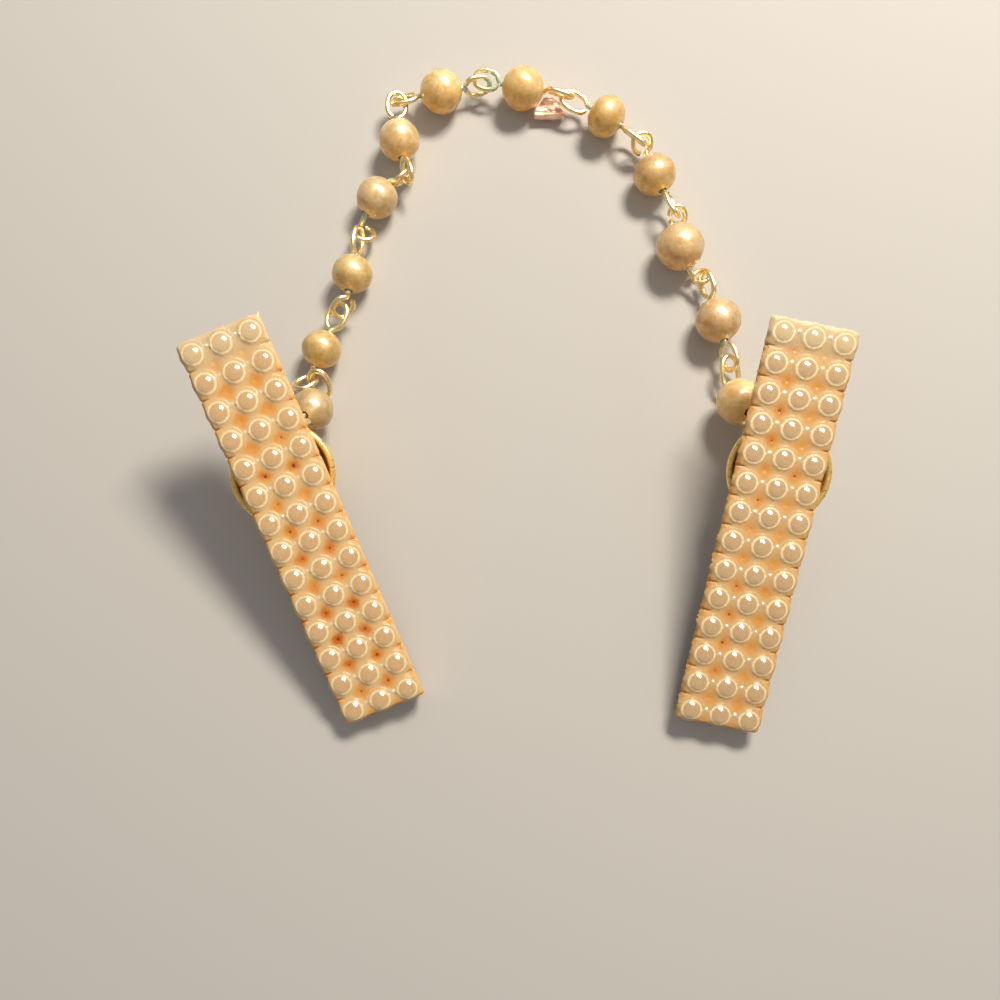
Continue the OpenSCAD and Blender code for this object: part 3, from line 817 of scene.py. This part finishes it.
# Eyes of each pearl's wire, left then right: x, y, z, roll about the wire, lean.
# The first and the last hang in the eyes that are soldered to the dishes.
EYES = [
    (None, (-25.4, -0.1, 2.4, -5, -50)),
    ((-27.2, -0.4, 2.2, 25, -35), (-23.1, 8.8, 2.8, -10, -5)),
    ((-22.4, 9.5, 3.2, -30, 45), (-20.8, 19.5, 2.3, 70, 0)),
    ((-20.1, 20.4, 1.9, 0, -30), (-14.6, 28.7, 2.2, -80, 5)),
    ((-14.3, 28.3, 3.4, 65, 0), (-16.0, 38.8, 3.0, 10, -5)),
    ((-15.3, 39.3, 2.8, 40, 5), (-4.8, 41.6, 2.6, 65, 10)),
    ((-4.1, 42.2, 3.1, -15, 5), (6.5, 40.1, 3.0, -65, 20)),
    ((7.7, 39.3, 2.8, 0, -15), (16.6, 33.4, 3.0, -65, 0)),
    ((17.2, 33.0, 2.5, 0, -40), (20.9, 23.4, 3.4, -60, 0)),
    ((21.2, 22.4, 2.7, -5, -45), (24.3, 14.2, 1.8, 0, -35)),
    ((25.1, 13.2, 2.6, -70, 0), (27.6, 2.5, 3.0, 60, 0)),
    ((27.7, 1.7, 2.4, 20, -15), None),
]
# The soldered eyes: where round the dish, how far out and how low, and their radius
LUG_AT = [56, 122]
LUG_OUT = 6.4
LUG_Z = -2.7
LUG_RADIUS = 1.1
# Radii of the wire, of an eye to the middle of its wire and of a pearl's hole, and how
# far outside the hole the eye begins
WIRE = 0.35
EYE = 1.4
HOLE = 0.45
MOUTH_OUT = 0.3
# How far an eye hangs below a soldered one, middle to middle, with this much to spare
SPARE = 0.2
HANG = LUG_RADIUS + EYE - 2 * WIRE - SPARE


def pearl_middle(index):
    """The middle of a pearl."""
    return Vector(PEARLS[index][:3])


def eye_middle(index, end):
    """The middle of an eye, which hangs below a soldered one at the chain's two ends."""
    if EYES[index][end]:
        return Vector(EYES[index][end][:3])
    at = radians(LUG_AT[end])
    return dish_place(end) @ Vector((LUG_OUT * cos(at), LUG_OUT * sin(at), LUG_Z - HANG))


def eye_turn(index, end):
    """How the plane of an eye is turned, as a matrix."""
    if not EYES[index][end]:
        return dish_place(end).to_3x3() @ (turned(LUG_AT[end], "Z") @ turned(90, "Y")).to_3x3()
    roll, lean = EYES[index][end][3:5]
    way = eye_middle(index, end) - pearl_middle(index)
    heading = degrees(atan2(way.y, way.x))
    return (turned(heading, "Z") @ turned(lean, "Y") @ turned(roll, "X")).to_3x3()


def hole_way(index):
    """Direction of a pearl's hole, from its left end to its right end."""
    if not EYES[index][LEFT]:
        return (pearl_middle(index) - eye_middle(index, LEFT)).normalized()
    if not EYES[index][RIGHT]:
        return (eye_middle(index, RIGHT) - pearl_middle(index)).normalized()
    return (eye_middle(index, RIGHT) - eye_middle(index, LEFT)).normalized()


pearl_lacquer, tree, shader = new_material("pearl_lacquer")
tint_and_shade = put(tree, "Attribute", {"attribute_name": "tint_and_shade"}).outputs["Color"]
chip = put(tree, "Attribute", {"attribute_name": "chip"}).outputs["Fac"]
soft = use_group(tree, clouds, Cloud_Size=1.1, Speck_Size=0.16)
wide = use_group(tree, clouds, Cloud_Size=2.2, Speck_Size=0.4)
pale = blend_colours(tree, 1.0, tint_and_shade, (1.25, 1.28, 1.22, 1), "MULTIPLY")
brown = blend_colours(tree, 1.0, tint_and_shade, (0.86, 0.73, 0.45, 1), "MULTIPLY")
colour = blend_colours(tree, soft["Clouds"], brown, tint_and_shade)
colour = blend_colours(tree, calculate(tree, "MULTIPLY", wide["Clouds"], 0.6), colour, pale)
colour = blend_colours(tree, calculate(tree, "MULTIPLY", soft["Specks"], 0.25), colour, brown)
chipped = calculate(tree, "ADD", chip, calculate(tree, "MULTIPLY", soft["Specks"], 0.25))
colour = blend_colours(tree, band(tree, chipped, 0.75, 1.05), colour, (0.2, 0.13, 0.06, 1))
bump = put(tree, "Bump", Strength=0.4, Distance=0.00008, Height=soft["Specks"])
set_shader(tree, shader, Base_Color=colour, Metallic=0.06, Specular_IOR_Level=0.3,
           Roughness=band(tree, soft["Clouds"], 0.0, 1.0, 0.5, 0.4),
           Normal=bump.outputs["Normal"], Coat_Weight=1.0, Coat_Roughness=0.24, Coat_IOR=1.4,
           Subsurface_Weight=0.25, Subsurface_Scale=0.001, Subsurface_Radius=(1.0, 0.6, 0.3))
TURNS = 64
RINGS = 40
# Height of the lumps and of the finer ones, what is worn off all round, how wide the
# lip at the hole is, and how far from the hole the lacquer is chipped
LUMP = 0.05
FINE_LUMP = 0.012
WORN = 0.03
HOLE_LIP = 0.09
CHIPPED = 0.45
# Painted shade and glow: the side that faces down and to the left, away from the softbox, is painted
# more orange
SHADE_GLOW_SIDE = Vector((-0.45, -0.8, -0.4)).normalized()


def pearl(index):
    """Spins the section of a drilled pearl, with a worn lip at each end of the hole."""
    size, length, lit_tint, shade_glow_tint = PEARLS[index][3:]
    radius = size / 2
    lip = (HOLE + HOLE_LIP) / radius
    bm = bmesh.new()
    section = []
    for ring in range(RINGS + 1):
        angle = lip + (pi - 2 * lip) * ring / RINGS
        section.append((radius * sin(angle), radius * cos(angle)))
    bore = [(HOLE + 0.01, -radius * cos(lip) + HOLE_LIP), (HOLE, -radius * 0.8), (HOLE, 0),
            (HOLE, radius * 0.8), (HOLE + 0.01, radius * cos(lip) - HOLE_LIP)]
    verts = [bm.verts.new((x, 0, z)) for x, z in section + bore]
    edges = [bm.edges.new(pair) for pair in zip(verts, verts[1:] + verts[:1])]
    bmesh.ops.spin(bm, geom=verts + edges, cent=(0, 0, 0), axis=(0, 0, 1), angle=2 * pi,
                   steps=TURNS, use_merge=True)
    bmesh.ops.remove_doubles(bm, verts=bm.verts[:], dist=1e-4)
    bmesh.ops.recalc_face_normals(bm, faces=bm.faces[:])
    tint_layer = bm.verts.layers.float_color.new("tint_and_shade")
    chip_layer = bm.verts.layers.float.new("chip")
    way = hole_way(index)
    place = Matrix.Translation(pearl_middle(index)) @ way.to_track_quat("Z", "Y").to_matrix().to_4x4()
    shade_glow_way = place.to_3x3().transposed() @ SHADE_GLOW_SIDE
    for vert in bm.verts:
        shift = noise.noise(vert.co * 0.5 + Vector((index * 3.7, 1.0, 0)))
        # Painted shade and glow on the side away from the softbox, with a random shift
        near = min(1.0, max(0.0, 0.45 + 0.75 * vert.co.normalized().dot(shade_glow_way) + 0.5 * shift))
        vert[tint_layer] = (*Vector(lit_tint).lerp(Vector(shade_glow_tint), near), 1)
        across = hypot(vert.co.x, vert.co.y)
        vert[chip_layer] = max(0.0, 1.0 - (across - HOLE) / CHIPPED)
        if across > HOLE + 0.05:
            lump = noise.noise(vert.co * 0.55 + Vector((index * 7.3, 0, 0)))
            fine = noise.noise(vert.co * 1.9 + Vector((0, index * 5.1, 0)))
            vert.co += vert.co.normalized() * (LUMP * lump + FINE_LUMP * fine - WORN)
        vert.co.z *= length
    number = f"{index + 1:02d}"
    finish_piece(bm, "drilled_pearl_" + number, pearl_lacquer, "pearl_" + number, "root",
                 place, 60)


for index in range(len(PEARLS)):
    pearl(index)


# The wires: each pearl sits on one bent brass wire that ends in an open eye at
# both sides, hooked into the next. The plate is dull, and green in the damp spots.

# An eye runs from and to these angles, and opens a little more or less on each wire.
# It is a long oval of this half width, fuller than an ellipse where its power is less
# than 1, and starts this far from the mouth of the hole.
EYE_FROM = 10.0
EYE_TO = 345.0
EYE_OPENS = 4.0
EYE_HALF_WIDTH = 1.25
EYE_FULL = 0.85
EYE_START = 0.2
# The wire is drawn a little thinner than it is, so that no two touch
WIRE_STEP = 0.12
WIRE_DRAWN = 0.34
# Mouths of holes where verdigris sits: the pearl, its end, and how far it spreads
# The wide spread at the seventh pearl's left end is partly real verdigris and partly painted contact
# shade round that eye.
GREEN_MOUTHS = [
    (2, LEFT, 0.7), (3, LEFT, 0.8), (3, RIGHT, 0.7), (4, LEFT, 0.5), (5, LEFT, 0.7), (5, RIGHT, 0.9),
    (6, LEFT, 2.6), (7, LEFT, 0.9), (7, RIGHT, 1.0), (8, RIGHT, 0.7), (10, RIGHT, 0.7),
]


def mouth_of(index, end):
    """Where the wire leaves the pearl's hole."""
    reach = PEARLS[index][3] / 2 * PEARLS[index][4] + MOUTH_OUT
    return pearl_middle(index) + (1 if end == RIGHT else -1) * reach * hole_way(index)


def rounded(value):
    """Swells an oval a little towards a rectangle."""
    return (1 if value > 0 else -1) * abs(value) ** EYE_FULL


def eye_points(index, end):
    """From the mouth of the hole into the eye and round it to the free end.

    The eye is a long oval that starts at the pearl, and is open where it comes back.
    """
    mouth = mouth_of(index, end)
    middle = eye_middle(index, end)
    turn = eye_turn(index, end)
    local = turn.transposed() @ (mouth - middle)
    near = hypot(local.x, local.y)
    toward = Vector((local.x, local.y, 0)) / near
    beside = Vector((-toward.y, toward.x, 0))
    half = (near - EYE_START + EYE) / 2
    last = EYE_TO + EYE_OPENS * sin(2.4 * index + 1.3 * end)
    count = round(radians(last - EYE_FROM) * EYE / WIRE_STEP)
    loop = []
    for step in range(count + 1):
        angle = radians(EYE_FROM + (last - EYE_FROM) * step / count)
        x = half - EYE + half * rounded(cos(angle))
        y = EYE_HALF_WIDTH * rounded(sin(angle))
        loop.append(middle + turn @ (x * toward + y * beside))
    return [mouth] + loop


brass_wire, tree, shader, colour = metal_material(
    "old_brass_wire", (1.0, 0.8, 0.42, 1), (0.92, 0.58, 0.22, 1), (0.16, 0.08, 0.03, 1),
    0.9, 0.4, 0.34)
green = put(tree, "Attribute", {"attribute_name": "green"}).outputs["Fac"]
crust = use_group(tree, clouds, Cloud_Size=0.5, Speck_Size=0.12)
covered = calculate(tree, "MULTIPLY", green, calculate(tree, "ADD", crust["Clouds"], 0.35))
covered = band(tree, covered, 0.35, 0.6)
verdigris = blend_colours(tree, crust["Specks"], (0.25, 0.36, 0.26, 1), (0.72, 0.82, 0.62, 1))
set_shader(tree, shader, Base_Color=blend_colours(tree, covered, colour, verdigris),
           Metallic=calculate(tree, "SUBTRACT", 1.0, covered),
           Roughness=band(tree, covered, 0.0, 1.0, 0.28, 0.85))
spots = [(mouth_of(index, end), far) for index, end, far in GREEN_MOUTHS]


def wire(index):
    """The whole wire: the left eye from its free end, through the pearl, the right eye."""
    left = eye_points(index, LEFT)
    right = eye_points(index, RIGHT)
    through = stepped([left[0], right[0]], WIRE_STEP)
    points = eased(left[:0:-1] + through[:-1] + right, 6)
    bm = wire_mesh("wire", points, WIRE_DRAWN, 4)
    layer = bm.verts.layers.float.new("green")
    for vert in bm.verts:
        vert[layer] = max(exp(-((vert.co - mouth).length / far) ** 2) for mouth, far in spots)
    number = f"{index + 1:02d}"
    finish_piece(bm, "eye_wire_" + number, brass_wire, "link_" + number, "root",
                 None, 60)


for index in range(len(PEARLS)):
    wire(index)


# The copper scrap: a crumpled bit of pink copper foil, in waves and folded back under
# itself. It is caught under the seventh pearl, its far end turned up to the wire.

# y and z of each wave and fold, from the far end
FOIL_FOLDS = [
    (40.1, 2.3), (39.7, 1.85), (39.3, 1.5), (38.8, 1.7), (38.3, 1.5), (37.9, 1.6), (37.6, 1.15),
    (38.3, 0.55), (39.2, 0.3),
]
# Its two edges, seen from above: y, then x on the left and on the right
FOIL_EDGES = [
    (37.6, 2.7, 6.6), (38.2, 2.75, 6.8), (38.8, 2.9, 6.35), (39.3, 3.25, 6.45), (39.7, 3.67, 6.1),
    (40.1, 3.98, 5.2),
]
# Its full width, the steps of its mesh, its thickness, and how ragged its edges are
# and how deep it is crumpled
FOIL_WIDTH = 4.0
FOIL_STEP = 0.08
FOIL_THICK = 0.1
FOIL_RAGGED = 0.12
CRUMPLE = 0.2


def foil_edge(y, side):
    """The left or the right edge of the foil where it is y along."""
    if y <= FOIL_EDGES[0][0]:
        return FOIL_EDGES[0][side]
    for first, last in zip(FOIL_EDGES, FOIL_EDGES[1:]):
        if y <= last[0]:
            part = (y - first[0]) / (last[0] - first[0])
            return first[side] * (1 - part) + last[side] * part
    return FOIL_EDGES[-1][side]


def foil_sheet():
    """Bends a grid along the folds and between the edges, crumples it, thickens it."""
    path = eased(stepped([Vector((0, y, z)) for y, z in FOIL_FOLDS], FOIL_STEP), 1)
    along = len(path) - 1
    across = round(FOIL_WIDTH / FOIL_STEP)
    bm = bmesh.new()
    bmesh.ops.create_grid(bm, x_segments=across, y_segments=along, size=0.5)
    for vert in bm.verts:
        step = round((vert.co.x + 0.5) * across)
        point = path[round((vert.co.y + 0.5) * along)]
        left = foil_edge(point.y, 1) + FOIL_RAGGED * noise.noise(point * 2.7)
        right = foil_edge(point.y, 2) + FOIL_RAGGED * noise.noise(point * 2.3 + Vector((5, 0, 0)))
        place = Vector((left + (right - left) * step / across, point.y, point.z))
        fold = abs(noise.noise(Vector((0.8 * place.x + 0.6 * place.y, 1.5 * place.y, place.z))))
        fine = noise.noise(place * 2.6)
        vert.co = place + Vector((0, 0, CRUMPLE * (1.6 * fold - 0.4 + 0.25 * fine)))
    bm.normal_update()
    bmesh.ops.recalc_face_normals(bm, faces=bm.faces[:])
    bmesh.ops.solidify(bm, geom=bm.faces[:], thickness=FOIL_THICK)
    bmesh.ops.recalc_face_normals(bm, faces=bm.faces[:])
    return bm


copper, tree, shader, colour = metal_material(
    "pink_copper", (1.0, 0.6, 0.43, 1), (0.95, 0.46, 0.32, 1), (0.5, 0.2, 0.1, 1), 0.9, 0.4, 0.5)
# Painted highlight: cream streaks along the foil, as though it caught the light.
highlight_streak = put(tree, "Mapping", Vector=put(tree, "TexCoord").outputs["Object"],
             Scale=(350.0, 2400.0, 2400.0)).outputs["Vector"]
highlight_streak = put(tree, "TexNoise", Vector=highlight_streak, Scale=1.0, Detail=3.0).outputs["Fac"]
painted_highlight = blend_colours(tree, band(tree, highlight_streak, 0.58, 0.7), colour, (1.0, 0.82, 0.62, 1))
set_shader(tree, shader, Base_Color=painted_highlight, Metallic=0.4)
finish_piece(foil_sheet(), "copper_foil", copper, "copper_scrap", "root", None, 35)
